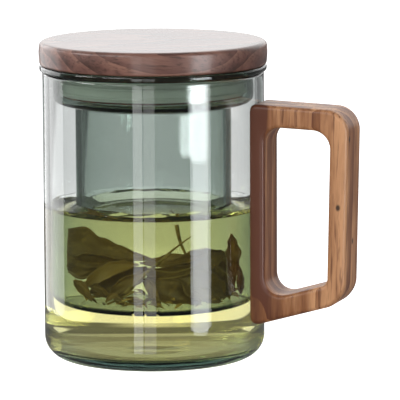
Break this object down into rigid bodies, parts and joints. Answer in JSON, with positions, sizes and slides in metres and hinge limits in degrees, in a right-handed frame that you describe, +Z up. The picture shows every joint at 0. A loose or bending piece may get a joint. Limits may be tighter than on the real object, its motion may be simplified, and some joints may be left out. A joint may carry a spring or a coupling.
{
  "type": "lidded tea mug with infuser",
  "caption": "Straight glass mug with a tinted glass infuser hung in its rim, a wooden plug lid with a silicone seal and a wooden loop handle glued to its side.",
  "frame": {"origin": "centre of the foot ring, on the surface that the mug stands on", "axes": "+Z up along the axis of the cup, +X out of the cup through the middle of the handle"},
  "size_m": [0.1244, 0.0878, 0.1223],
  "materials": {
    "clear_glass": "fire-polished clear borosilicate glass with a slight grey cast",
    "tinted_glass": "polished grey-green borosilicate glass",
    "walnut": "walnut, finely sanded, clear satin lacquer",
    "silicone": "moulded translucent silicone, matt",
    "adhesive": "clear cured glass adhesive"
  },
  "bodies": {
    "cup": {"cup": "clear_glass", "handle": "walnut", "handle_adhesive": "adhesive"},
    "infuser": {"infuser": "tinted_glass"},
    "lid": {"lid": "walnut", "lid_gasket": "silicone"}
  },
  "joints": [
    {"name": "infuser_lift", "type": "slide", "parent": "cup", "child": "infuser", "axis": [0, 0, 1], "range_m": [0, 0.1]},
    {"name": "lid_lift", "type": "slide", "parent": "infuser", "child": "lid", "axis": [0, 0, 1], "range_m": [0, 0.03]}
  ]
}
